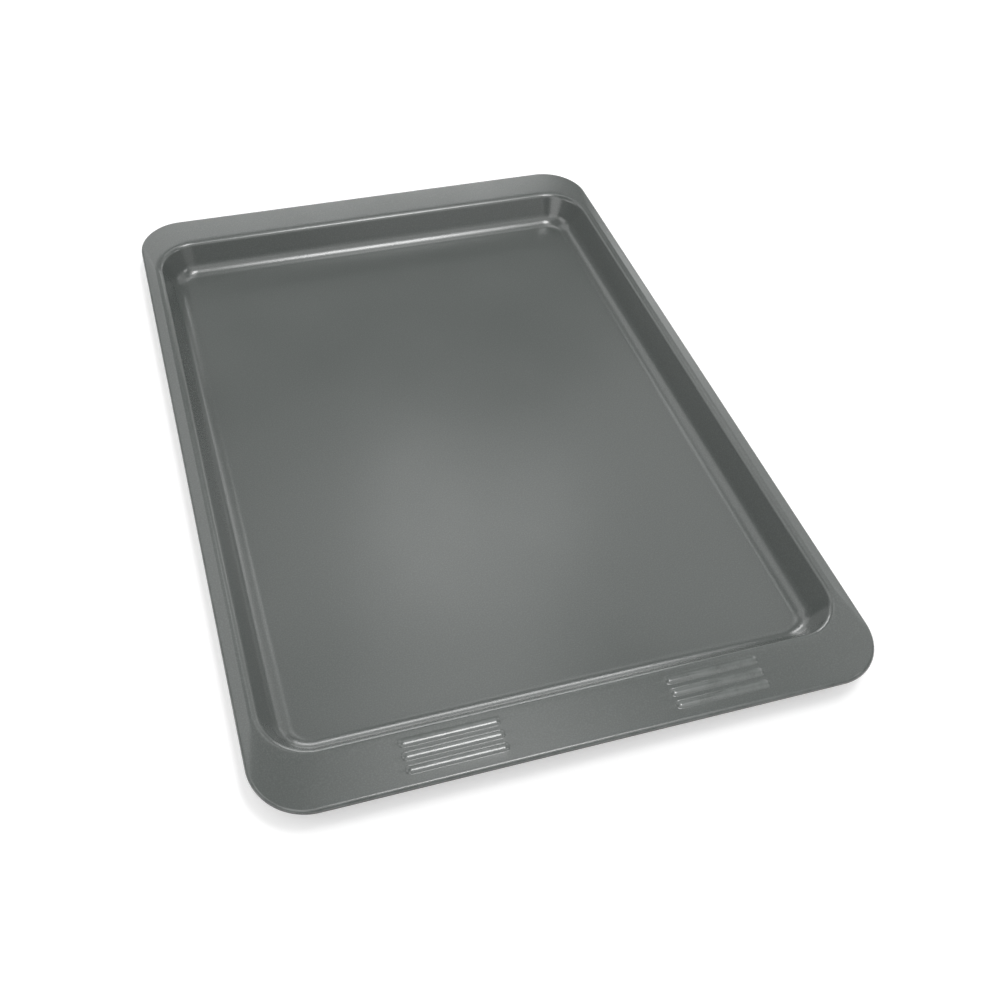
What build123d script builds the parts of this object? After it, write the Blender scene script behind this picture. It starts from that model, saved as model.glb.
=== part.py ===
from build123d import *
import os
from math import atan, degrees, radians, sin, tan

# Cookie sheet: a pressed steel baking sheet whose rim is rolled round a stiffening wire.
# Millimetres. X runs across the sheet, Y from the front flange to the rear one, Z up.
# The origin is on the surface that the sheet stands on, under the middle of its outline.

# Outline of the whole sheet, outside its rolled rim
overall_length = 368.0
overall_width = 259.0
rim_corner_radius = 23.5

# Steel sheet and the wire that its rim is rolled round
sheet_thickness = 0.6
wire_diameter = 1.6
wire_clearance = 0.05
wire_end_gap = 0.8
curl_turn = 290.0

# Flanges, from the outside of the rim to where the shoulder starts to bend
end_flange = 21.8
side_flange = 6.2

# The flanges fall from a narrow flat land round the well to the rim
flange_fall = 1.0
land_width = 1.0

# Drawn well, measured on its inner face
well_depth = 14.0
wall_angle = 60.0
shoulder_radius = 3.4
floor_radius = 9.5
well_corner_radius = 22.5

# Embossed grip ribs, in two groups beside the bare middle of the front flange
ribs_in_group = 3
rib_length = 40.3
rib_width = 3.8
rib_height = 0.65
rib_pitch = 5.45
rib_rows_inset = 12.6
rib_groups_apart = 108.6
rib_groups_shift = 1.9

# Levels and radii that follow from the sizes above
land_level = sheet_thickness + well_depth
rim_level = land_level - flange_fall
bore_radius = wire_diameter / 2 + wire_clearance
curl_radius = bore_radius + sheet_thickness
curl_level = rim_level - curl_radius
track_half_width = overall_width / 2 - curl_radius
track_half_length = overall_length / 2 - curl_radius
track_corner_radius = rim_corner_radius - curl_radius

# Mouth of the well, where its sloping wall would meet the flange without the shoulder bend
bend_setback = shoulder_radius * tan(radians(wall_angle / 2))
mouth_width = overall_width - 2 * (side_flange + bend_setback)
mouth_length = overall_length - 2 * (end_flange + bend_setback)
mouth_corner_radius = well_corner_radius - bend_setback
wall_draft = 90 - wall_angle


def well_block(skin):
    """Solid of the well's form, grown outwards by a skin measured square to its faces."""
    growth = skin / sin(radians(wall_angle))
    mouth = RectangleRounded(
        mouth_width + 2 * growth,
        mouth_length + 2 * growth,
        mouth_corner_radius + growth,
    )
    block = extrude(Pos(0, 0, land_level) * mouth, -(well_depth + skin), taper=wall_draft)
    floor_edges = block.faces().sort_by(Axis.Z).first.edges()
    return fillet(floor_edges, floor_radius + skin)


def flange_mound(drop):
    """Solid whose top is the flanges' face, moved down by a drop: flat land, then the fall."""
    land_growth = bend_setback + land_width
    land = RectangleRounded(
        mouth_width + 2 * land_growth,
        mouth_length + 2 * land_growth,
        mouth_corner_radius + land_growth,
    )
    foot = Pos(0, 0, rim_level - drop) * sheet_outline()
    return loft([foot, Pos(0, 0, land_level - drop) * land], ruled=True)


def sheet_outline():
    """Outline of the flanges, where the rolled rim takes over."""
    return RectangleRounded(2 * track_half_width, 2 * track_half_length, track_corner_radius)


def drawn_tray():
    """Falling flanges with the well drawn down through them, bent over a shoulder all round."""
    plinth = extrude(Pos(0, 0, rim_level) * sheet_outline(), -sheet_thickness)
    flanges = flange_mound(0) + plinth - flange_mound(sheet_thickness)
    tray = flanges + well_block(sheet_thickness)

    inner_bend = mouth_loop(tray, land_level - sheet_thickness)
    tray = fillet(inner_bend.edges(), shoulder_radius - sheet_thickness)

    tray = tray - well_block(0)
    return fillet(mouth_loop(tray, land_level).edges(), shoulder_radius)


def mouth_loop(body, level):
    """Closed edge loop round the well's mouth, in the land's flat face at one level."""
    land = body.faces().filter_by_position(Axis.Z, level, level).sort_by(SortBy.AREA).last
    return land.inner_wires().sort_by(SortBy.LENGTH).last


def carry_round_rim(section, rear_gap=0.0):
    """Carry an upright section, drawn outwards and up, round the rim's rounded rectangle.

    A rear gap leaves the ring open at the middle of the rear side.
    """
    pieces = []
    for quarter in range(4):
        outward = Vector(1, 0, 0).rotate(Axis.Z, -90 * quarter)
        along = Vector(0, -1, 0).rotate(Axis.Z, -90 * quarter)
        reach = track_half_width if quarter % 2 == 0 else track_half_length
        run = (track_half_length if quarter % 2 == 0 else track_half_width) - track_corner_radius
        level = Vector(0, 0, curl_level)

        spans = [(-run, run)]
        if rear_gap and quarter == 3:
            spans = [(-run, -rear_gap / 2), (rear_gap / 2, run)]
        for start, end in spans:
            foot = Plane(outward * reach + along * start + level, x_dir=outward, z_dir=along)
            pieces.append(extrude(foot * section, end - start))

        turn_plane = Plane(outward * reach + along * run + level, x_dir=outward, z_dir=along)
        turn_centre = outward * (reach - track_corner_radius) + along * run
        turn_axis = Axis(turn_centre, (0, 0, -1))
        pieces.append(revolve(turn_plane * section, turn_axis, 90))
    return pieces[0].fuse(*pieces[1:]).clean()


def rolled_rim():
    """Curl of the sheet's edge: over the wire, down, and back in under the flange."""
    outside = CenterArc((0, 0), curl_radius, 90, -curl_turn)
    inside = CenterArc((0, 0), bore_radius, 90, -curl_turn)
    root = Line(outside @ 0, inside @ 0)
    lip = Line(outside @ 1, inside @ 1)
    return carry_round_rim(make_face([outside, inside, root, lip]))


def rib_radius():
    """Radius of the arc that is one rib wide at the flange and one rib high above it."""
    half_width = rib_width / 2
    return (half_width**2 + rib_height**2) / (2 * rib_height)


def rib_bar(radius):
    """Round-ended bar along X, as long as a rib where it leaves the flange."""
    straight = rib_length - rib_width
    bar = Rot(0, 90, 0) * Cylinder(radius, straight)
    ball = Sphere(radius)
    return bar + Pos(straight / 2, 0, 0) * ball + Pos(-straight / 2, 0, 0) * ball


def rib_places():
    """Middle of each rib, on the axis of the bar that forms it, tilted with the front flange."""
    run = end_flange - curl_radius - land_width
    slope = atan(flange_fall / run)
    row_middle = -overall_length / 2 + rib_rows_inset
    sunk = rib_radius() - rib_height
    places = []
    for side in (-1, 1):
        for row in range(ribs_in_group):
            across = rib_groups_shift + side * rib_groups_apart / 2
            back = row_middle + (row - (ribs_in_group - 1) / 2) * rib_pitch
            up = rim_level + (back + track_half_length) * tan(slope)
            places.append(Pos(across, back, up) * Rot(degrees(slope), 0, 0) * Pos(0, 0, -sunk))
    return places


def emboss_ribs(sheet):
    """Press the grip ribs up out of the front flange, hollow beneath as pressed sheet is."""
    outer_radius = rib_radius()
    middle_of_sheet = outer_radius - rib_height - sheet_thickness / 2
    crown = split(rib_bar(outer_radius), Plane.XY.offset(middle_of_sheet), keep=Keep.TOP)
    for place in rib_places():
        sheet = sheet + place * crown

    groove = rib_bar(outer_radius - sheet_thickness)
    for place in rib_places():
        sheet = sheet - place * groove
    return sheet


def make_pan_sheet():
    """The one pressed piece: well, flanges, grip ribs and rolled rim."""
    return emboss_ribs(drawn_tray()) + rolled_rim()


def make_rim_wire():
    """Steel wire that the rim is rolled round, its ends butted at the middle of the rear."""
    return carry_round_rim(make_face(Circle(wire_diameter / 2).edges()), wire_end_gap)


def main():
    """Build each piece and write it to its own file."""
    os.makedirs("parts", exist_ok=True)
    pieces = {"pan_sheet": make_pan_sheet(), "rim_wire": make_rim_wire()}
    for name, piece in pieces.items():
        piece.label = name
        export_step(piece, f"parts/{name}.step")
        box = piece.bounding_box()
        print(name, len(piece.solids()), "solid", box.size, round(piece.volume, 1), "mm3")


main()
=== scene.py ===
"""Cookie sheet: the visual model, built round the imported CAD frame.

Metres. X runs across the sheet, Y from the front flange with the grip ribs to the rear one,
Z up out of the well. Sizes are written in millimetres and turned to metres where a mesh is made.
"""
from __future__ import annotations

import logging
import math
from dataclasses import dataclass, field
from enum import Enum
from functools import partial
from typing import Iterable

import bpy
import numpy as np
from bpy.types import Material, Mesh, Node, NodeSocket, NodeTree, Object, bpy_prop_collection
from mathutils import Matrix, Vector

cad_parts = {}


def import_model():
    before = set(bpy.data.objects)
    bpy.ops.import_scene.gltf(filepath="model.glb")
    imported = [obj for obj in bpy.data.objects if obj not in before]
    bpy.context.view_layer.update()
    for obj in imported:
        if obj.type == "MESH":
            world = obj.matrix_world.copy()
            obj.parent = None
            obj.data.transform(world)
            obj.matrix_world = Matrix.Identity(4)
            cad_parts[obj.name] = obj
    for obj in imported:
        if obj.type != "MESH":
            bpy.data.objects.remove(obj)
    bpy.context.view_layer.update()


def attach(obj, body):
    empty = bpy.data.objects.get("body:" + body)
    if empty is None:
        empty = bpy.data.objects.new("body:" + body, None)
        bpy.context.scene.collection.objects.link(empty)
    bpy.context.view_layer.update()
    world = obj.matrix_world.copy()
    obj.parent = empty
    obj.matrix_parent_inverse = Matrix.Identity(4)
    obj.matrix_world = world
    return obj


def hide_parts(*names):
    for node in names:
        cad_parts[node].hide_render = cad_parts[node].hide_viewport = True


MM = 0.001
BODY = "root"
WHITE = "#ffffff"
QUARTER_TURN = math.pi / 2

# Point attributes of the sheet's mesh
SKIN = "skin"
FRONT_FLANGE = "front_flange"
THIN_FILM = "thin_film"

# Skin under which a point is on the steel's upper face, in millimetres
UPPER_SKIN = 0.01

LOG = logging.getLogger("cookie_sheet")


# Colour and node helpers


def linear_rgba(hex_colour: str) -> tuple[float, float, float, float]:
    """Turn an sRGB hex colour into linear RGBA.

    Args:
        hex_colour: Six hex digits after a hash sign.

    Returns:
        Linear red, green and blue with an alpha of one.
    """
    channels = []
    for start in (1, 3, 5):
        value = int(hex_colour[start:start + 2], 16) / 255
        channels.append(value / 12.92 if value <= 0.04045 else ((value + 0.055) / 1.055) ** 2.4)
    return (channels[0], channels[1], channels[2], 1.0)


def add_node(
    tree: NodeTree,
    kind: str,
    settings: dict[str, object] | None = None,
    inputs: dict[str | int, object] | None = None,
) -> Node:
    """Add a node, set its properties, and set or link its inputs.

    Args:
        tree: Node tree that gets the node.
        kind: Blender's type name of the node.
        settings: Properties of the node by name.
        inputs: Inputs by name or number: an output socket is linked, anything else is a value.

    Returns:
        The new node.
    """
    node = tree.nodes.new(kind)
    for name, value in (settings or {}).items():
        setattr(node, name, value)
    for key, value in (inputs or {}).items():
        if isinstance(value, NodeSocket):
            tree.links.new(value, node.inputs[key])
        else:
            node.inputs[key].default_value = value
    return node


def calculate(tree: NodeTree, operation: str, *values: object, clamp: bool = False) -> NodeSocket:
    """Add a Math node on sockets or numbers, given in order, and return its result."""
    return add_node(
        tree, "ShaderNodeMath", {"operation": operation, "use_clamp": clamp},
        dict(enumerate(values)),
    ).outputs[0]


def link_to_scene(thing: Object) -> Object:
    """Link an object to the scene and return it."""
    bpy.context.scene.collection.objects.link(thing)
    return thing


def empty_material(name: str) -> Material:
    """Make a node material with an empty node tree."""
    material = bpy.data.materials.new(name)
    material.use_nodes = True
    material.node_tree.nodes.clear()
    return material


def mixed_colour(tree: NodeTree, share: NodeSocket, first: object, second: object) -> NodeSocket:
    """Mix two colours, each a socket or linear RGBA, by the share of the second one."""
    # The Mix node's sockets share their names: its colours are 6 and 7, and the result is 2
    return add_node(
        tree, "ShaderNodeMix", {"data_type": "RGBA"}, {0: share, 6: first, 7: second}
    ).outputs[2]


def ramp(
    tree: NodeTree, value: NodeSocket, start: float, end: float, low: float = 0.0, high: float = 1.0
) -> NodeSocket:
    """Map a value's way from start to end onto low to high, and hold it past both ends."""
    return add_node(
        tree, "ShaderNodeMapRange", {"clamp": True},
        {"Value": value, "From Min": start, "From Max": end, "To Min": low, "To Max": high},
    ).outputs["Result"]


def noise(tree: NodeTree, place: NodeSocket, grain_mm: float, detail: float) -> NodeSocket:
    """Add a noise on coordinates in metres, by the size of its grains and its octaves."""
    return add_node(
        tree, "ShaderNodeTexNoise", None,
        {"Vector": place, "Scale": 1.0 / (grain_mm * MM), "Detail": detail},
    ).outputs["Fac"]


def relief(
    tree: NodeTree,
    height: NodeSocket,
    strength: float,
    depth_mm: float,
    below: NodeSocket | None = None,
) -> NodeSocket:
    """Add a bump of a real depth, on the bare surface or on the normal of another bump."""
    inputs: dict[str | int, object] = {
        "Strength": strength, "Distance": depth_mm * MM, "Height": height,
    }
    if below is not None:
        inputs["Normal"] = below
    return add_node(tree, "ShaderNodeBump", None, inputs).outputs["Normal"]


def surface(tree: NodeTree, inputs: dict[str | int, object]) -> None:
    """End a material's tree with the shader, given its inputs by name."""
    shader = add_node(tree, "ShaderNodeBsdfPrincipled", None, inputs).outputs["BSDF"]
    add_node(tree, "ShaderNodeOutputMaterial", None, {"Surface": shader})


# Finishes


@dataclass(frozen=True)
class NonstickCoating:
    """Silicone non-stick coating, sprayed on sheet steel and baked.

    It gives a dark, slightly green grey with a soft semi-gloss: lamps show as clear but blurred
    bands, and the sprayed film's orange peel and its fine grit break their edges up a little. Where
    the sheet is bent tight the film is thinner, a shade lighter and glossier. Round the rim the
    film fades into a painted shade on the faces that look down, the underside and the rolled rim's
    lower
    half: a duller, nearly black colour that stands in for the shadow under the rim.

    Attributes:
        roughness_spread: How far the clouds change the roughness to either side.
        thin_gloss: How much less rough the thin film is.
        painted_under_shade_range: Upward parts of the normal between which the film turns into the
            painted shade.
        speck_range, patch_range, cloud_range: Noise values between which a speck of grit, a
            patch of thin film or a change of roughness comes up.
        grit_mm, orange_peel_mm, patch_mm, cloud_mm: Sizes of the grains.
        grit_bump, peel_bump, grit_depth_mm, peel_depth_mm: Strengths and depths of the relief.
    """

    name: str = "nonstick_coating"
    base_colour: str = "#4d514f"
    speck_colour: str = "#585c5a"
    thin_colour: str = "#606462"
    # Painted shade: a nearly black colour for the faces that look down, standing in for the shadow
    # under the rim
    painted_under_shade_colour: str = "#262524"
    ior: float = 1.7
    roughness: float = 0.22
    roughness_spread: float = 0.02
    thin_gloss: float = 0.03
    under_roughness: float = 0.42
    painted_under_shade_range: tuple[float, float] = (0.42, 0.12)
    speck_range: tuple[float, float] = (0.42, 0.78)
    patch_range: tuple[float, float] = (0.35, 0.6)
    cloud_range: tuple[float, float] = (0.3, 0.7)
    grit_mm: float = 0.55
    orange_peel_mm: float = 2.6
    patch_mm: float = 6.0
    cloud_mm: float = 45.0
    grit_bump: float = 0.03
    grit_depth_mm: float = 0.05
    peel_bump: float = 0.03
    peel_depth_mm: float = 0.15

    def build(self) -> Material:
        """Build the coating's material.

        Returns:
            A node material on Object coordinates.
        """
        material = empty_material(self.name)
        tree = material.node_tree
        coordinates = add_node(tree, "ShaderNodeTexCoord").outputs
        place = coordinates["Object"]
        upward = add_node(
            tree, "ShaderNodeSeparateXYZ", None, {"Vector": coordinates["Normal"]}
        ).outputs["Z"]
        # Painted shade: faces that look down, the underside and the rim's lower half, are darkened
        # to stand in for the shadow under the rim
        painted_under_shade = ramp(tree, upward, *self.painted_under_shade_range)
        grit = noise(tree, place, self.grit_mm, 2.0)
        thin = self._thin_film(tree, place)

        speckle = ramp(tree, grit, *self.speck_range)
        colour = mixed_colour(
            tree, speckle, linear_rgba(self.base_colour), linear_rgba(self.speck_colour)
        )
        colour = mixed_colour(tree, thin, colour, linear_rgba(self.thin_colour))
        colour = mixed_colour(tree, painted_under_shade, colour, linear_rgba(self.painted_under_shade_colour))
        surface(tree, {
            "Base Color": colour, "Roughness": self._gloss(tree, place, thin, painted_under_shade),
            "Normal": self._normal(tree, place, grit), "IOR": self.ior,
        })
        return material

    def _thin_film(self, tree: NodeTree, place: NodeSocket) -> NodeSocket:
        """How much thinner the film is: patchily so where the sheet is bent tight."""
        bent = add_node(tree, "ShaderNodeAttribute", {"attribute_name": THIN_FILM}).outputs["Fac"]
        patch = noise(tree, place, self.patch_mm, 3.0)
        return calculate(
            tree, "MULTIPLY", bent, ramp(tree, patch, *self.patch_range), clamp=True
        )

    def _gloss(
        self, tree: NodeTree, place: NodeSocket, thin: NodeSocket, painted_under_shade: NodeSocket
    ) -> NodeSocket:
        """Roughness: cloudy, lower on the thin film, and duller where the painted shade covers the
        faces that look down.
        """
        cloud = noise(tree, place, self.cloud_mm, 3.0)
        gloss = ramp(
            tree, cloud, *self.cloud_range,
            self.roughness - self.roughness_spread, self.roughness + self.roughness_spread,
        )
        gloss = calculate(tree, "MULTIPLY_ADD", thin, -self.thin_gloss, gloss)

        # The Mix node's float sockets are 0, 2 and 3
        return add_node(
            tree, "ShaderNodeMix", {"data_type": "FLOAT"},
            {0: painted_under_shade, 2: gloss, 3: self.under_roughness},
        ).outputs[0]

    def _normal(self, tree: NodeTree, place: NodeSocket, grit: NodeSocket) -> NodeSocket:
        """Normal with the film's orange peel, and the grit on it."""
        peel = noise(tree, place, self.orange_peel_mm, 1.0)
        peeled = relief(tree, peel, self.peel_bump, self.peel_depth_mm)
        return relief(tree, grit, self.grit_bump, self.grit_depth_mm, peeled)


@dataclass(frozen=True)
class DrawnSteelWire:
    """Low-carbon steel wire, drawn through a die and left plain.

    It gives a bright grey metal with fine die marks.
    """

    name: str = "drawn_steel_wire"
    colour: str = "#a7a8aa"
    roughness: float = 0.38
    die_line_mm: float = 0.12
    line_bump: float = 0.15
    line_depth_mm: float = 0.02

    def build(self) -> Material:
        """Build the wire's material.

        Returns:
            A node material on Object coordinates.
        """
        material = empty_material(self.name)
        tree = material.node_tree
        place = add_node(tree, "ShaderNodeTexCoord").outputs["Object"]
        lines = noise(tree, place, self.die_line_mm, 2.0)
        surface(tree, {
            "Base Color": linear_rgba(self.colour), "Metallic": 1.0, "Roughness": self.roughness,
            "Normal": relief(tree, lines, self.line_bump, self.line_depth_mm),
        })
        return material


# Rounded rectangles, the rings that every part of the sheet follows


class Side(Enum):
    """The straight sides of a ring, walked anticlockwise seen from above."""

    FRONT = "front"
    RIGHT = "right"
    REAR = "rear"
    LEFT = "left"


@dataclass(frozen=True)
class Ring:
    """Rounded rectangle at one level, in millimetres.

    Attributes:
        half_width: Reach across, the same to both sides.
        front, rear: Y of the front and rear sides.
        radius: Corner radius.
        level: Height.
        skin: 0 on the upper face of the steel, its thickness on the lower face.
    """

    half_width: float
    front: float
    rear: float
    radius: float
    level: float
    skin: float = 0.0

    def inset(self, distance: float, level: float, skin: float = 0.0) -> Ring:
        """Return this ring moved inwards by a distance, at another level."""
        return Ring(
            self.half_width - distance, self.front + distance, self.rear - distance,
            self.radius - distance, level, skin,
        )

    def towards(self, other: Ring, share: float) -> Ring:
        """Return the ring a share of the way from this one to another."""
        mine, theirs = self._numbers(), other._numbers()
        return Ring(*(a + (b - a) * share for a, b in zip(mine, theirs)))

    def _numbers(self) -> tuple[float, ...]:
        """All six numbers in order."""
        return (self.half_width, self.front, self.rear, self.radius, self.level, self.skin)


@dataclass(frozen=True)
class Station:
    """One place on the way round a ring.

    Attributes:
        side: Side that the place is on, or that the corner follows.
        share: Place along a left or right side, from 0 to 1.
        across: X in millimetres, on a front or rear side.
        turn: Angle round the corner in radians, or None on a straight side.
    """

    side: Side
    share: float = 0.0
    across: float = 0.0
    turn: float | None = None

    def on(self, side: Side) -> bool:
        """Whether this place is on one straight side."""
        return self.side is side and self.turn is None

    def point(self, ring: Ring) -> tuple[float, float, float]:
        """Place of this station on a ring, in millimetres."""
        straight = ring.half_width - ring.radius
        low, high = ring.front + ring.radius, ring.rear - ring.radius
        if self.turn is not None:
            centre_x = straight if self.side in (Side.FRONT, Side.RIGHT) else -straight
            centre_y = low if self.side in (Side.FRONT, Side.LEFT) else high
            return (
                centre_x + ring.radius * math.cos(self.turn),
                centre_y + ring.radius * math.sin(self.turn),
                ring.level,
            )
        if self.side is Side.FRONT:
            return (self.across, ring.front, ring.level)
        if self.side is Side.REAR:
            return (self.across, ring.rear, ring.level)
        along = low + (high - low) * self.share
        return (ring.half_width if self.side is Side.RIGHT else -ring.half_width, along, ring.level)


# Geometry Nodes


def sized_tree(name: str, sizes: dict[str, float]) -> NodeTree:
    """Make an empty Geometry Nodes tree that takes a geometry and named sizes.

    Args:
        name: Name of the tree.
        sizes: Inputs by name with their values.

    Returns:
        The tree, with one geometry output.
    """
    tree = bpy.data.node_groups.new(name, "GeometryNodeTree")
    face = tree.interface
    face.new_socket("Geometry", in_out="INPUT", socket_type="NodeSocketGeometry")
    face.new_socket("Geometry", in_out="OUTPUT", socket_type="NodeSocketGeometry")
    for size_name, value in sizes.items():
        socket = face.new_socket(size_name, in_out="INPUT", socket_type="NodeSocketFloat")
        socket.default_value = value
    return tree


def named_value(tree: NodeTree, name: str, kind: str) -> NodeSocket:
    """Read a point attribute by its name and kind."""
    return add_node(
        tree, "GeometryNodeInputNamedAttribute", {"data_type": kind}, {"Name": name}
    ).outputs[0]


def dressed_tree(tree: NodeTree, geometry: NodeSocket, finish: Material) -> NodeTree:
    """End a tree by making its geometry real and giving it a finish."""
    whole = add_node(tree, "GeometryNodeRealizeInstances", None, {0: geometry}).outputs[0]
    dressed = add_node(
        tree, "GeometryNodeSetMaterial", None, {"Geometry": whole, "Material": finish}
    ).outputs[0]
    add_node(tree, "NodeGroupOutput", None, {0: dressed})
    return tree


def apply_nodes(piece: Object, tree: NodeTree, values: dict[str, float]) -> Object:
    """Run a Geometry Nodes tree on a piece and keep the result as a plain mesh.

    Args:
        piece: Object whose mesh goes in.
        tree: Geometry Nodes tree.
        values: Inputs by name.

    Returns:
        The same object with the result as its mesh and no modifier.
    """
    modifier = piece.modifiers.new(tree.name, "NODES")
    modifier.node_group = tree
    for item in tree.interface.items_tree:
        if item.item_type == "SOCKET" and item.in_out == "INPUT" and item.name in values:
            modifier[item.identifier] = values[item.name]
    graph = bpy.context.evaluated_depsgraph_get()
    result = bpy.data.meshes.new_from_object(piece.evaluated_get(graph), depsgraph=graph)
    piece.modifiers.remove(modifier)
    result.name = piece.name
    piece.data = result
    return piece


# Grip ribs


@dataclass
class GripRibs:
    """Two groups of ribs pressed up out of the front flange, in millimetres.

    Attributes:
        length, width, height: Size of a rib above the flange.
        root_radius: Radius of the soft bend at its foot.
        groups_apart: Distance between the middles of the two groups.
        groups_shift: X halfway between the two groups.
        row_middle: Y of the middle rib's axis.
        section_steps: Distances from a rib's axis at which the flange's mesh has a row.
        end_steps: Distances past the straight run at which the mesh has a column.
        run_shares: Shares of half the straight run at which the mesh has a column.
    """

    in_group: int = 3
    length: float = 40.3
    width: float = 3.8
    height: float = 0.65
    root_radius: float = 0.5
    pitch: float = 5.45
    groups_apart: float = 108.6
    groups_shift: float = 1.9
    row_middle: float = -171.4
    section_steps: tuple[float, ...] = (0.0, 0.3, 0.6, 0.9, 1.2, 1.5, 1.77, 1.87, 1.97)
    end_steps: tuple[float, ...] = (-0.6, 0.0, 0.35, 0.7, 1.05, 1.4, 1.77, 1.87, 1.97)
    run_shares: tuple[float, ...] = (-0.75, -0.5, -0.25, 0.0, 0.25, 0.5, 0.75)

    @property
    def crown_radius(self) -> float:
        """Radius of the arc one rib wide and one rib high."""
        return ((self.width / 2) ** 2 + self.height ** 2) / (2 * self.height)

    @property
    def reach(self) -> float:
        """Distance from a rib's axis at which its soft root runs out into the flange."""
        rise = self.root_radius + self.crown_radius - self.height
        return math.sqrt((self.crown_radius + self.root_radius) ** 2 - rise ** 2)

    @property
    def half_run(self) -> float:
        """Half the length of a rib's straight axis."""
        return (self.length - self.width) / 2

    def rows(self) -> list[float]:
        """Y of each rib's axis."""
        middle = (self.in_group - 1) / 2
        return [self.row_middle + (row - middle) * self.pitch for row in range(self.in_group)]

    def fine_rows(self) -> list[float]:
        """Y values that a mesh needs to carry the ribs' sections."""
        steps = (*self.section_steps, self.reach)
        places = {round(row + sign * step, 4) for row in self.rows() for step in steps
                  for sign in (-1, 1)}
        return sorted(places)

    def fine_columns(self) -> list[float]:
        """X values that a mesh needs to carry the ribs' round ends."""
        steps = (*self.end_steps, self.reach)
        places: set[float] = set()
        for group in (-1, 1):
            middle = self.groups_shift + group * self.groups_apart / 2
            places |= {round(middle + self.half_run * share, 4) for share in self.run_shares}
            places |= {round(middle + end * (self.half_run + step), 4)
                       for end in (-1, 1) for step in steps}
        return sorted(places)

    def node_tree(self, material: Material) -> NodeTree:
        """Geometry Nodes tree that presses the ribs into a flange mesh.

        Args:
            material: Finish that the whole piece gets.

        Returns:
            The tree. Its sizes are named inputs in millimetres.
        """
        tree = sized_tree("press_grip_ribs", self.inputs())
        size = tree.nodes.new("NodeGroupInput").outputs
        maths = partial(calculate, tree)
        skin = named_value(tree, SKIN, "FLOAT")
        on_flange = named_value(tree, FRONT_FLANGE, "BOOLEAN")
        height = self._height(tree, size, skin)
        lift = add_node(
            tree, "ShaderNodeCombineXYZ", None, {"Z": maths("MULTIPLY", height, MM)}
        ).outputs[0]
        pressed = add_node(
            tree, "GeometryNodeSetPosition", None,
            {"Geometry": size["Geometry"], "Selection": on_flange, "Offset": lift},
        ).outputs[0]

        # The coating is thinner on the crowns, on the upper face alone
        on_top = maths("LESS_THAN", skin, UPPER_SKIN)
        bared = add_node(
            tree, "GeometryNodeStoreNamedAttribute", {"data_type": "FLOAT", "domain": "POINT"},
            {
                "Geometry": pressed, "Selection": on_flange, "Name": THIN_FILM,
                "Value": maths("MULTIPLY", on_top, maths("DIVIDE", height, size["Height"])),
            },
        ).outputs[0]
        return dressed_tree(tree, bared, material)

    @staticmethod
    def _off_axis(tree: NodeTree, size: bpy_prop_collection) -> NodeSocket:
        """Distance from the nearest rib's axis, in millimetres.

        Args:
            tree: The ribs' tree.
            size: Its named inputs.

        Returns:
            The distance at each point.
        """
        maths = partial(calculate, tree)
        position = add_node(tree, "GeometryNodeInputPosition").outputs[0]
        split = add_node(tree, "ShaderNodeSeparateXYZ", None, {0: position}).outputs
        across = maths("DIVIDE", split["X"], MM)
        along = maths("DIVIDE", split["Y"], MM)
        from_middle = maths("ABSOLUTE", maths("SUBTRACT", across, size["Groups shift"]))
        half_apart = maths("DIVIDE", size["Groups apart"], 2.0)
        from_group = maths("ABSOLUTE", maths("SUBTRACT", from_middle, half_apart))
        past_end = maths("MAXIMUM", maths("SUBTRACT", from_group, size["Half run"]), 0.0)
        in_rows = maths("DIVIDE", maths("SUBTRACT", along, size["Row middle"]), size["Pitch"])
        last_row = maths("DIVIDE", maths("SUBTRACT", size["Ribs in group"], 1.0), 2.0)
        first_row = maths("MULTIPLY", last_row, -1.0)
        row = maths("MAXIMUM", maths("MINIMUM", maths("ROUND", in_rows), last_row), first_row)
        beside = maths("MULTIPLY", maths("SUBTRACT", in_rows, row), size["Pitch"])
        return maths(
            "SQRT", maths("ADD", maths("POWER", past_end, 2.0), maths("POWER", beside, 2.0))
        )

    def _height(self, tree: NodeTree, size: bpy_prop_collection, skin: NodeSocket) -> NodeSocket:
        """Height of a rib's section: a round crown that meets the flange in a soft root.

        Args:
            tree: The ribs' tree.
            size: Its named inputs.
            skin: Distance below the steel's upper face.

        Returns:
            The height above the flange at each point, in millimetres.
        """
        maths = partial(calculate, tree)
        off_axis = self._off_axis(tree, size)
        crown = maths("SUBTRACT", size["Crown radius"], skin)
        root = maths("ADD", size["Root radius"], skin)
        crown_part = maths("MAXIMUM", maths(
            "SUBTRACT", maths("POWER", crown, 2.0), maths("POWER", off_axis, 2.0)), 0.0)
        crown_height = maths("ADD", maths("SQRT", crown_part), maths(
            "SUBTRACT", maths("ADD", size["Height"], skin), size["Crown radius"]))
        from_root = maths("MAXIMUM", maths("SUBTRACT", size["Reach"], off_axis), 0.0)
        root_part = maths("SQRT", maths("MAXIMUM", maths(
            "SUBTRACT", maths("POWER", root, 2.0), maths("POWER", from_root, 2.0)), 0.0))
        root_height = maths("SUBTRACT", root, root_part)
        crown_share = maths("DIVIDE", crown, maths("ADD", crown, root))
        on_crown = maths("LESS_THAN", off_axis, maths("MULTIPLY", size["Reach"], crown_share))
        return add_node(
            tree, "GeometryNodeSwitch", {"input_type": "FLOAT"},
            {"Switch": on_crown, "False": root_height, "True": crown_height},
        ).outputs[0]

    def inputs(self) -> dict[str, float]:
        """Named inputs of the tree with their values in millimetres."""
        return {
            "Ribs in group": float(self.in_group),
            "Half run": self.half_run,
            "Height": self.height,
            "Crown radius": self.crown_radius,
            "Root radius": self.root_radius,
            "Reach": self.reach,
            "Pitch": self.pitch,
            "Groups apart": self.groups_apart,
            "Groups shift": self.groups_shift,
            "Row middle": self.row_middle,
        }


# The pressed sheet


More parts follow.
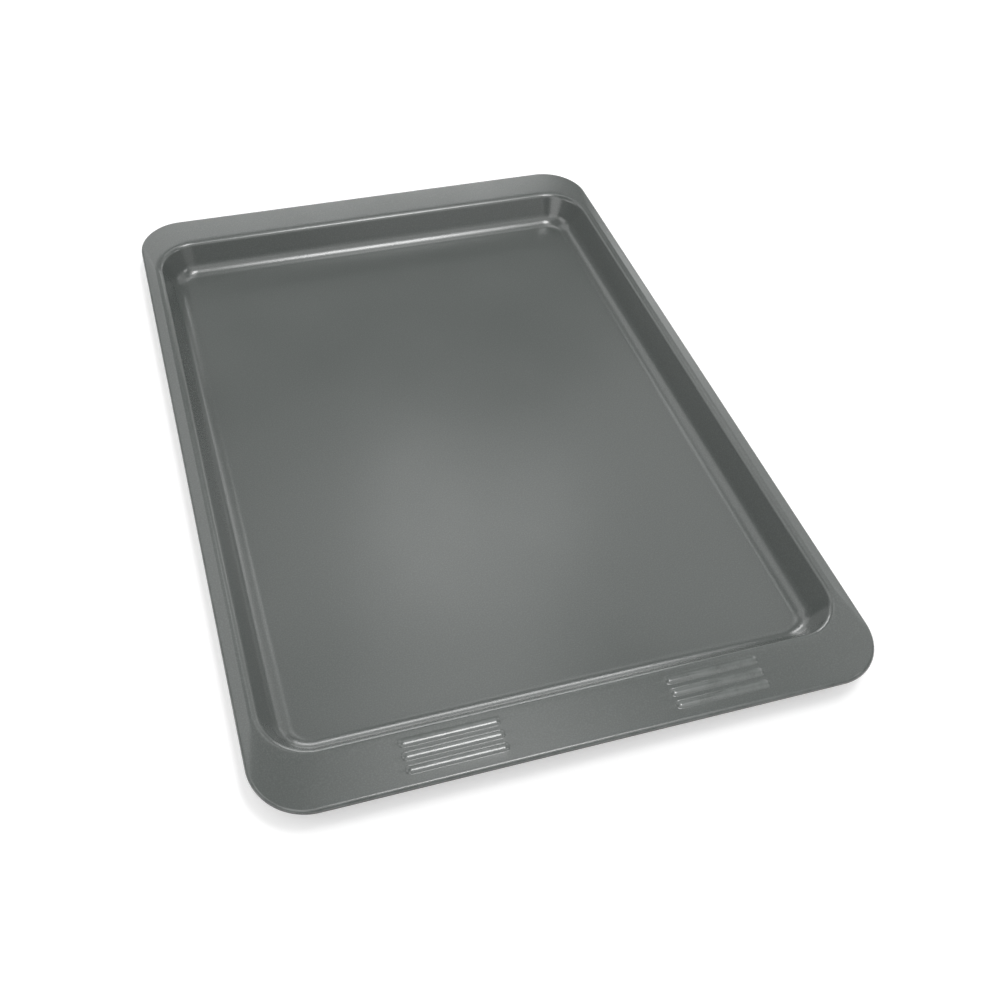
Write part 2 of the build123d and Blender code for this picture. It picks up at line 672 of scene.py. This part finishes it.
@dataclass
class PanSheet:
    """The one pressed piece: well, flanges, grip ribs and rolled rim, in millimetres.

    Attributes:
        bore_radius: Radius inside the rolled rim, round the wire.
        curl_turn, wall_angle: Turn of the rolled edge and slope of the walls, in degrees.
        end_flange, side_flange: Widths from the outside of the rim to the shoulder's bend.
        flange_fall: How far the flanges fall from the flat land round the well to the rim.
        crease_share: Half the crease between land and flange, as a share of the flange.
        shoulder_radius, floor_radius: Bends at the wall's head and foot, on the upper face.
        floor_bend_steps, shoulder_steps: Steps in the bends at the wall's foot and head.
        curl_steps, bore_steps: Steps round the outside and the inside of the rolled rim.
        floor_border: Width of the flat ring between the floor's grid and its bend.
        rim_share: Place of the last ring before the rim, as a share of the flange.
        plain_columns: X values of the mesh's columns away from the ribs.
        column_gap: Least distance from a rib's column to a plain one.
    """

    overall_length: float = 368.0
    overall_width: float = 259.0
    rim_corner_radius: float = 23.5
    thickness: float = 0.6
    bore_radius: float = 0.85
    curl_turn: float = 290.0
    end_flange: float = 21.8
    side_flange: float = 6.2
    flange_fall: float = 1.0
    land_width: float = 1.0
    crease_share: float = 0.045
    well_depth: float = 14.0
    wall_angle: float = 60.0
    shoulder_radius: float = 3.4
    floor_radius: float = 9.5
    well_corner_radius: float = 22.5
    corner_steps: int = 22
    side_steps: int = 16
    floor_bend_steps: int = 18
    shoulder_steps: int = 14
    curl_steps: int = 36
    bore_steps: int = 28
    floor_border: float = 0.8
    rim_share: float = 0.99
    plain_columns: tuple[float, ...] = (-90.0, -76.0, -23.0, -11.0, 1.9, 14.0, 27.0, 85.0, 95.5)
    column_gap: float = 2.0
    ribs: GripRibs = field(default_factory=GripRibs)

    @property
    def land_level(self) -> float:
        """Height of the flat land round the well."""
        return self.thickness + self.well_depth

    @property
    def rim_level(self) -> float:
        """Height of the top of the rim, to which the flanges fall."""
        return self.land_level - self.flange_fall

    @property
    def curl_radius(self) -> float:
        """Outer radius of the rolled rim."""
        return self.bore_radius + self.thickness

    @property
    def curl_level(self) -> float:
        """Height of the rolled rim's axis."""
        return self.rim_level - self.curl_radius

    @property
    def track(self) -> Ring:
        """Ring that the rolled rim's axis follows, at the level of the rim's top."""
        outside = Ring(
            self.overall_width / 2, -self.overall_length / 2, self.overall_length / 2,
            self.rim_corner_radius, self.rim_level,
        )
        return outside.inset(self.curl_radius, self.rim_level)

    @property
    def shoulder_line(self) -> Ring:
        """Ring at which the land starts to bend down into the well."""
        reach = self.overall_length / 2 - self.end_flange
        return Ring(
            self.overall_width / 2 - self.side_flange, -reach, reach,
            self.well_corner_radius, self.land_level,
        )

    def build(self, finish: Material) -> Object:
        """Build the sheet's mesh and dress it.

        Args:
            finish: Material of the whole sheet.

        Returns:
            The finished object, at the origin.
        """
        stations = self.stations()
        rings, flange_rows = self.rings()
        points = [station.point(ring) for ring in rings for station in stations]
        faces = self._quads(len(rings), len(stations))
        last_ring = (len(rings) - 1) * len(stations)
        self._fill_floor(points, faces, stations, 0, upwards=True)
        self._fill_floor(points, faces, stations, last_ring, upwards=False)

        mesh = bpy.data.meshes.new("pan_sheet_skin")
        mesh.from_pydata([tuple(value * MM for value in point) for point in points], [], faces)
        self._mark(mesh, rings, flange_rows, stations)
        mesh.polygons.foreach_set("use_smooth", [True] * len(mesh.polygons))
        mesh.update()

        piece = link_to_scene(bpy.data.objects.new("pan_sheet_skin", mesh))
        apply_nodes(piece, self.ribs.node_tree(finish), self.ribs.inputs())
        for name in (SKIN, FRONT_FLANGE):
            piece.data.attributes.remove(piece.data.attributes[name])
        return piece

    @staticmethod
    def _quads(rows: int, around: int) -> list[tuple[int, ...]]:
        """Faces between neighbouring rings, with equally many points round each."""
        faces: list[tuple[int, ...]] = []
        for row in range(rows - 1):
            for here in range(around):
                after = (here + 1) % around
                faces.append((
                    row * around + here, (row + 1) * around + here,
                    (row + 1) * around + after, row * around + after,
                ))
        return faces

    def _mark(
        self, mesh: Mesh, rings: list[Ring], flange_rows: set[int], stations: list[Station]
    ) -> None:
        """Write the skin, the film's thinness and the front flange to the mesh's points.

        Args:
            mesh: Mesh whose first points are those of the rings.
            rings: Every ring of the skin.
            flange_rows: Numbers of the rings that lie on the flanges.
            stations: Places round each ring.
        """
        skins = np.zeros(len(mesh.vertices), np.float32)
        thin = np.zeros(len(mesh.vertices), np.float32)
        on_flange = np.zeros(len(mesh.vertices), bool)
        in_front = np.array([station.on(Side.FRONT) for station in stations])
        for row, ring in enumerate(rings):
            span = slice(row * len(stations), (row + 1) * len(stations))
            skins[span] = ring.skin
            thin[span] = self._thinned(ring)
            on_flange[span] = in_front & (row in flange_rows)
        mesh.attributes.new(SKIN, "FLOAT", "POINT").data.foreach_set("value", skins)
        mesh.attributes.new(THIN_FILM, "FLOAT", "POINT").data.foreach_set("value", thin)
        flag = mesh.attributes.new(FRONT_FLANGE, "BOOLEAN", "POINT")
        flag.data.foreach_set("value", on_flange)

    def _thinned(self, ring: Ring) -> float:
        """How much thinner the coating is on a ring: most on the outside of the rolled rim."""
        past_track = (ring.half_width - self.track.half_width) / self.curl_radius
        return max(0.0, past_track) if ring.level > self.curl_level else 0.0

    def stations(self) -> list[Station]:
        """Places round every ring, anticlockwise from the left end of the front side."""
        straight = self.shoulder_line.half_width - self.shoulder_line.radius
        columns = [x for x in self.ribs.fine_columns() if abs(x) < straight]
        plain = [x for x in self.plain_columns
                 if all(abs(x - column) > self.column_gap for column in columns)]
        columns = sorted(columns + plain)
        columns = [-straight] + columns + [straight]

        def corner(side: Side, start: float) -> list[Station]:
            """Stations inside one corner, its ends left to the straight sides."""
            return [Station(side, turn=start + QUARTER_TURN * step / self.corner_steps)
                    for step in range(1, self.corner_steps)]

        shares = [step / self.side_steps for step in range(self.side_steps + 1)]
        way = [Station(Side.FRONT, across=x) for x in columns]
        way += corner(Side.FRONT, -QUARTER_TURN)
        way += [Station(Side.RIGHT, share=share) for share in shares]
        way += corner(Side.RIGHT, 0.0)
        way += [Station(Side.REAR, across=x) for x in reversed(columns)]
        way += corner(Side.REAR, QUARTER_TURN)
        way += [Station(Side.LEFT, share=share) for share in reversed(shares)]
        way += corner(Side.LEFT, 2 * QUARTER_TURN)
        return way

    def rings(self) -> tuple[list[Ring], set[int]]:
        """Every ring of the skin, from the well's floor over the rim and back below it.

        Returns:
            The rings, and the numbers of those that lie on the flanges.
        """
        flange_top = self._flange_rings(0.0)
        top = self._bowl_rings(0.0)
        curl = self._curl_rings()
        below = self._bowl_rings(self.thickness)
        flange_below = self._flange_rings(self.thickness)
        rings = top + flange_top + curl + flange_below[::-1] + below[::-1]
        first = len(top)
        second = first + len(flange_top) + len(curl)
        flange_rows = set(range(first, first + len(flange_top)))
        flange_rows |= set(range(second, second + len(flange_below)))
        return rings, flange_rows

    def _flange_rings(self, skin: float) -> list[Ring]:
        """Rings across the flanges, from the land's crease out to the rim's axis."""
        land = self.shoulder_line.inset(-self.land_width, self.land_level)
        run = land.front - self.track.front
        soft = self.crease_share
        shares = {(land.front - y) / run for y in self.ribs.fine_rows()}
        shares = {share for share in shares if 2 * soft < share < self.rim_share}
        shares |= {-soft, -soft / 2, 0.0, soft / 2, soft, self.rim_share}
        rings = []
        for share in sorted(shares):
            ring = land.towards(self.track, share)
            level = self.land_level - skin - self.flange_fall * self._fallen(share)
            rings.append(Ring(ring.half_width, ring.front, ring.rear, ring.radius, level, skin))
        return rings

    def _fallen(self, share: float) -> float:
        """Part of the flanges' fall that is reached at a share of the way from land to rim."""
        soft = self.crease_share
        return (share + soft) ** 2 / (4 * soft) if share < soft else share

    def _bowl_rings(self, skin: float) -> list[Ring]:
        """Rings of the well, from its flat floor up to the shoulder's line.

        Args:
            skin: 0 for the upper face, the thickness for the lower one.

        Returns:
            Rings in order, the floor's first.
        """
        angle = math.radians(self.wall_angle)
        outer = self.shoulder_line
        shoulder = self.shoulder_radius - skin
        hollow = self.floor_radius + skin
        top, bottom = self.land_level - skin, self.thickness - skin
        shoulder_run = self.shoulder_radius * math.sin(angle)
        wall_foot_level = self.thickness + self.floor_radius * (1 - math.cos(angle))
        wall_head_level = self.land_level - self.shoulder_radius * (1 - math.cos(angle))
        wall_run = (wall_head_level - wall_foot_level) / math.tan(angle)
        hollow_run = self.floor_radius * math.sin(angle)
        floor_edge = shoulder_run + wall_run + hollow_run

        rings = [outer.inset(floor_edge + self.floor_border, bottom, skin)]
        for step in range(self.floor_bend_steps + 1):
            tilt = angle * step / self.floor_bend_steps
            inset = floor_edge - hollow * math.sin(tilt)
            rings.append(outer.inset(inset, bottom + hollow * (1 - math.cos(tilt)), skin))
        for step in range(self.shoulder_steps + 1):
            tilt = angle * (1 - step / self.shoulder_steps)
            inset = shoulder * math.sin(tilt)
            rings.append(outer.inset(inset, top - shoulder * (1 - math.cos(tilt)), skin))
        return rings

    def _curl_rings(self) -> list[Ring]:
        """Rings of the rolled rim: over the top, down, back in, and out along its bore."""
        turn = math.radians(self.curl_turn)
        rings = []
        for radius, steps in (
            (self.curl_radius, self.curl_steps), (self.bore_radius, self.bore_steps)
        ):
            arc = []
            for step in range(steps + 1):
                angle = QUARTER_TURN - turn * step / steps
                reach = radius * math.cos(angle)
                arc.append(self.track.inset(-reach, self.curl_level + radius * math.sin(angle)))
            rings += arc if radius == self.curl_radius else arc[::-1]
        return rings

    def _fill_floor(
        self,
        points: list[tuple[float, float, float]],
        faces: list[tuple[int, ...]],
        stations: list[Station],
        first: int,
        upwards: bool,
    ) -> None:
        """Close the flat floor inside one ring with a grid of quads.

        Args:
            points: Points so far, which the grid's are added to.
            faces: Faces so far, which the grid's are added to.
            stations: Places round the ring.
            first: Number of the ring's first point.
            upwards: Whether the faces look up.
        """
        level = points[first][2]
        front = [n for n, station in enumerate(stations) if station.on(Side.FRONT)]
        right = [n for n, station in enumerate(stations) if station.on(Side.RIGHT)]
        columns = [points[first + n][0] for n in front]
        rows = [points[first + n][1] for n in right]
        grid = len(points)
        points += [(x, y, level) for y in rows for x in columns]

        def inner(row: int, column: int) -> int:
            """Number of a grid point."""
            return grid + row * len(columns) + column

        new: list[tuple[int, ...]] = []
        last_row, last_column = len(rows) - 1, len(columns) - 1
        for row in range(last_row):
            for column in range(last_column):
                new.append((inner(row, column), inner(row, column + 1),
                            inner(row + 1, column + 1), inner(row + 1, column)))

        # The grid point that each place round the ring is joined to
        in_corner = self.corner_steps - 1
        edge = (
            [inner(0, column) for column in range(last_column + 1)]
            + [inner(0, last_column)] * in_corner
            + [inner(row, last_column) for row in range(last_row + 1)]
            + [inner(last_row, last_column)] * in_corner
            + [inner(last_row, column) for column in range(last_column, -1, -1)]
            + [inner(last_row, 0)] * in_corner
            + [inner(row, 0) for row in range(last_row, -1, -1)]
            + [inner(0, 0)] * in_corner
        )
        around = len(stations)
        for here in range(around):
            after = (here + 1) % around
            corners = [first + here, first + after, edge[after], edge[here]]
            if corners[2] == corners[3]:
                corners.pop()
            new.append(tuple(corners))
        faces += new if upwards else [face[::-1] for face in new]


# The wire inside the rim


@dataclass
class RimWire:
    """Steel wire that the rim is rolled round, in millimetres.

    Attributes:
        end_gap: Gap between its ends, at the middle of the rear side.
        corner_radius, half_width, half_length, level: Path of its axis, 1.45 mm inside the
            sheet's outline.
        sides: Sides of its section.
    """

    diameter: float = 1.6
    end_gap: float = 0.8
    corner_radius: float = 22.05
    half_width: float = 128.05
    half_length: float = 182.55
    level: float = 12.15
    corner_steps: int = 24
    sides: int = 20

    def build(self, finish: Material) -> Object:
        """Build the wire along its path and dress it.

        Args:
            finish: Material of the wire.

        Returns:
            The finished object, at the origin.
        """
        gap = self.end_gap / 2
        corners = [
            (gap, self.half_length), (self.half_width, self.half_length),
            (self.half_width, -self.half_length), (-self.half_width, -self.half_length),
            (-self.half_width, self.half_length), (-gap, self.half_length),
        ]
        mesh = bpy.data.meshes.new("rim_wire_round")
        mesh.from_pydata(
            [(x * MM, y * MM, self.level * MM) for x, y in corners],
            [(n, n + 1) for n in range(len(corners) - 1)], [],
        )
        piece = link_to_scene(bpy.data.objects.new("rim_wire_round", mesh))
        sizes = {"Wire radius": self.diameter / 2 * MM, "Bend radius": self.corner_radius * MM}
        return apply_nodes(piece, self._node_tree(finish, sizes), sizes)

    def _node_tree(self, finish: Material, sizes: dict[str, float]) -> NodeTree:
        """Geometry Nodes tree that bends a wire along a path with sharp corners.

        Args:
            finish: Material of the wire.
            sizes: Named inputs in metres.

        Returns:
            The tree.
        """
        tree = sized_tree("bend_rim_wire", sizes)
        size = tree.nodes.new("NodeGroupInput").outputs
        path = add_node(tree, "GeometryNodeMeshToCurve", None, {0: size["Geometry"]}).outputs[0]
        bent = add_node(
            tree, "GeometryNodeFilletCurve", {"mode": "POLY"},
            {"Curve": path, "Count": self.corner_steps, "Radius": size["Bend radius"]},
        ).outputs[0]
        section = add_node(
            tree, "GeometryNodeCurvePrimitiveCircle", {"mode": "RADIUS"},
            {"Resolution": self.sides, "Radius": size["Wire radius"]},
        ).outputs[0]
        wire = add_node(
            tree, "GeometryNodeCurveToMesh", None,
            {"Curve": bent, "Profile Curve": section, "Fill Caps": True},
        ).outputs[0]
        smooth = add_node(tree, "GeometryNodeSetShadeSmooth", None, {"Geometry": wire}).outputs[0]
        return dressed_tree(tree, smooth, finish)


# Studio


@dataclass(frozen=True)
class SoftLight:
    """Rectangular softbox, in metres.

    Attributes:
        place, aim: Middle of its face, and the point that it looks at.
        width: Size across.
        height: Size up, or along Y when it looks straight down.
        glow: Brightness of its face, where white paper in full light is 1.
    """

    name: str
    place: tuple[float, float, float]
    aim: tuple[float, float, float]
    width: float
    height: float
    glow: float

    def build(self) -> Object:
        """Add the lamp to the scene."""
        lamp = bpy.data.lights.new(self.name, "AREA")
        lamp.shape = "RECTANGLE"
        lamp.size, lamp.size_y = self.width, self.height
        lamp.energy = math.pi * self.width * self.height * self.glow
        thing = link_to_scene(bpy.data.objects.new(self.name, lamp))
        turn = (Vector(self.aim) - Vector(self.place)).to_track_quat("-Z", "Y")
        thing.matrix_world = Matrix.LocRotScale(Vector(self.place), turn, None)
        thing.visible_camera = False
        return thing


def background_rays(tree: NodeTree, mirrored_share: NodeSocket | float = 1.0) -> NodeSocket:
    """Tell the rays that show the background, straight, mirrored or through glass.

    Args:
        tree: Node tree of the floor's material or the world.
        mirrored_share: Part of the background that mirrored and refracted rays are shown.

    Returns:
        A factor of up to 1 on those rays and 0 on the rays that light the object.
    """
    path = add_node(tree, "ShaderNodeLightPath").outputs
    mirrored = calculate(tree, "MAXIMUM", path["Is Glossy Ray"], path["Is Transmission Ray"])
    shown = calculate(tree, "MULTIPLY", mirrored, mirrored_share)
    return calculate(tree, "MAXIMUM", path["Is Camera Ray"], shown)


@dataclass
class Studio:
    """White floor, soft lamps and a camera at the photograph's viewing angle.

    Lengths are in metres, except those of the lens and the sensor, in millimetres.

    Attributes:
        floor_glow: Light added to the floor near the object, on rays that show the background.
        near_floor, far_floor: Distances at which that light starts to rise and is full white.
        horizon_top: Height of a mirrored ray's way up to which it shows full white.
        room_starts: Height of a mirrored ray's way from which it shows the room alone.
        camera_look, camera_right: Directions of the camera's view and of its picture's width.
        shift_x, shift_y: Shift of the frame, in frame widths.
    """

    floor_size: float = 40.0
    floor_colour: str = "#dadada"
    floor_glow: float = 0.4
    near_floor: float = 0.45
    far_floor: float = 1.1
    world_colour: str = WHITE
    world_strength: float = 0.24
    horizon_top: float = 0.01
    room_starts: float = 0.07
    camera_place: tuple[float, float, float] = (-0.14132, -0.39248, 0.41985)
    camera_look: tuple[float, float, float] = (0.216825, 0.676128, -0.704158)
    camera_right: tuple[float, float, float] = (0.961190, -0.273911, 0.032962)
    lens: float = 43.73
    sensor: float = 36.0
    clip_start: float = 0.01
    shift_x: float = 0.07704
    shift_y: float = -0.0795
    lamps: tuple[SoftLight, ...] = (
        SoftLight("overhead_box", (0.82, -0.14, 3.9), (0.82, -0.14, 0.0), 0.89, 1.1, 14.3),
        SoftLight("overhead_box_end", (1.04, 0.69, 3.9), (1.04, 0.69, 0.0), 0.45, 0.56, 5.5),
        SoftLight("overhead_spill", (0.82, 1.61, 3.9), (0.82, 1.61, 0.0), 0.89, 1.28, 1.55),
        SoftLight("rear_card_middle", (0.35, 1.5, 0.5), (0.35, 0.0, 0.5), 0.7, 0.3, 6.6),
        SoftLight("rear_card_low", (0.4, 1.5, 0.2), (0.4, 0.0, 0.2), 2.0, 0.3, 1.15),
        SoftLight("rear_card_right", (1.84, 1.5, 0.65), (1.84, 0.0, 0.65), 1.1, 0.6, 1.7),
        SoftLight("rear_card_left", (-0.3, 1.5, 0.65), (-0.3, 0.0, 0.65), 0.6, 0.6, 1.2),
        SoftLight("floor_gleam", (0.34, 0.83, 1.15), (-0.02, -0.06, 0.0), 0.33, 0.33, 1.5),
        SoftLight("floor_gleam_side", (0.15, 0.89, 1.15), (-0.02, -0.06, 0.0), 0.33, 0.33, 0.65),
        SoftLight("rear_left_scrim", (-0.58, 0.86, 1.08), (0.0, 0.0, 0.0), 0.92, 0.84, 1.2),
        SoftLight("right_scrim", (0.99, 0.55, 0.98), (0.0, 0.0, 0.0), 1.2, 0.85, 0.7),
        SoftLight("right_key", (1.54, -0.56, 1.47), (0.0, 0.0, 0.0), 0.5, 0.4, 4.7),
        SoftLight("right_key_low", (1.81, 0.84, 0.93), (0.0, 0.0, 0.0), 0.5, 0.4, 1.05),
        SoftLight("front_right_fill", (0.57, -1.0, 0.96), (0.0, 0.0, 0.0), 0.9, 0.9, 0.6),
        SoftLight("front_left_fill", (-0.66, -0.94, 0.96), (0.0, 0.0, 0.0), 0.9, 0.9, 1.8),
        SoftLight("front_top_scrim", (0.1, -0.85, 1.9), (0.0, 0.0, 0.0), 1.8, 1.2, 1.1),
        SoftLight("left_fill", (-1.06, 0.0, 1.06), (0.0, 0.0, 0.0), 0.9, 0.6, 1.9),
    )

    def build(self) -> None:
        """Add floor, world, lamps and camera."""
        self._floor()
        self._world()
        for lamp in self.lamps:
            lamp.build()
        self._camera()

    def _floor(self) -> None:
        """Add a pale floor that keeps the object's shadow and turns white further away."""
        half = self.floor_size / 2
        mesh = bpy.data.meshes.new("floor")
        corners = [(-half, -half, 0.0), (half, -half, 0.0), (half, half, 0.0), (-half, half, 0.0)]
        mesh.from_pydata(corners, [], [(0, 1, 2, 3)])
        floor = link_to_scene(bpy.data.objects.new("floor", mesh))

        material = empty_material("white_paper_floor")
        tree = material.node_tree
        paper = add_node(
            tree, "ShaderNodeBsdfDiffuse", None, {"Color": linear_rgba(self.floor_colour)}
        ).outputs[0]
        place = add_node(tree, "ShaderNodeTexCoord").outputs["Object"]
        away = add_node(
            tree, "ShaderNodeVectorMath", {"operation": "LENGTH"}, {0: place}
        ).outputs["Value"]
        rise = ramp(tree, away, self.near_floor, self.far_floor, self.floor_glow)
        strength = calculate(tree, "MULTIPLY", background_rays(tree), rise)
        glow = add_node(tree, "ShaderNodeEmission", None, {"Strength": strength}).outputs[0]
        both = add_node(tree, "ShaderNodeAddShader", None, {0: paper, 1: glow}).outputs[0]
        add_node(tree, "ShaderNodeOutputMaterial", None, {"Surface": both})
        mesh.materials.append(material)

    def _world(self) -> None:
        """Light the room evenly, and show white past the floor.

        Mirrored rays see that white near the horizon only, and the grey room above it, because
        a white room would lie over all of the coating as a veil.
        """
        world = bpy.data.worlds.new("studio")
        bpy.context.scene.world = world
        world.use_nodes = True
        tree = world.node_tree
        tree.nodes.clear()
        way = add_node(tree, "ShaderNodeTexCoord").outputs["Generated"]
        height = add_node(tree, "ShaderNodeSeparateXYZ", None, {"Vector": way}).outputs["Z"]
        seen = background_rays(tree, ramp(tree, height, self.room_starts, self.horizon_top))
        room = add_node(
            tree, "ShaderNodeBackground", None,
            {"Color": linear_rgba(self.world_colour), "Strength": self.world_strength},
        ).outputs[0]
        white = add_node(
            tree, "ShaderNodeBackground", None, {"Color": linear_rgba(WHITE)}
        ).outputs[0]
        mixed = add_node(tree, "ShaderNodeMixShader", None, {0: seen, 1: room, 2: white}).outputs[0]
        add_node(tree, "ShaderNodeOutputWorld", None, {"Surface": mixed})

    def _camera(self) -> None:
        """Add the camera at the photograph's place, with its lens and shift."""
        data = bpy.data.cameras.new("camera")
        data.sensor_width = self.sensor
        data.lens = self.lens
        data.shift_x, data.shift_y = self.shift_x, self.shift_y
        data.clip_start = self.clip_start
        look = Vector(self.camera_look).normalized()
        right = Vector(self.camera_right).normalized()
        up = right.cross(look)
        turn = Matrix((right, up, -look)).transposed()
        camera = link_to_scene(bpy.data.objects.new("camera", data))
        camera.matrix_world = Matrix.LocRotScale(Vector(self.camera_place), turn, None)
        bpy.context.scene.camera = camera


def report(piece: Object) -> None:
    """Log a piece's name and its number of triangles."""
    triangles = sum(len(face.vertices) - 2 for face in piece.data.polygons)
    LOG.info("%s: %d triangles", piece.name, triangles)


def main() -> None:
    """Build the cookie sheet round the frame, then the studio."""
    logging.basicConfig(level=logging.INFO, format="%(name)s: %(message)s")
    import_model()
    scene = bpy.context.scene
    scene.view_settings.view_transform = "Standard"

    sheet = PanSheet().build(NonstickCoating().build())
    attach(sheet, BODY)
    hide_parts("pan_sheet")
    report(sheet)

    wire = RimWire().build(DrawnSteelWire().build())
    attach(wire, BODY)
    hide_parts("rim_wire")
    report(wire)

    Studio().build()


if __name__ == "__main__":
    main()
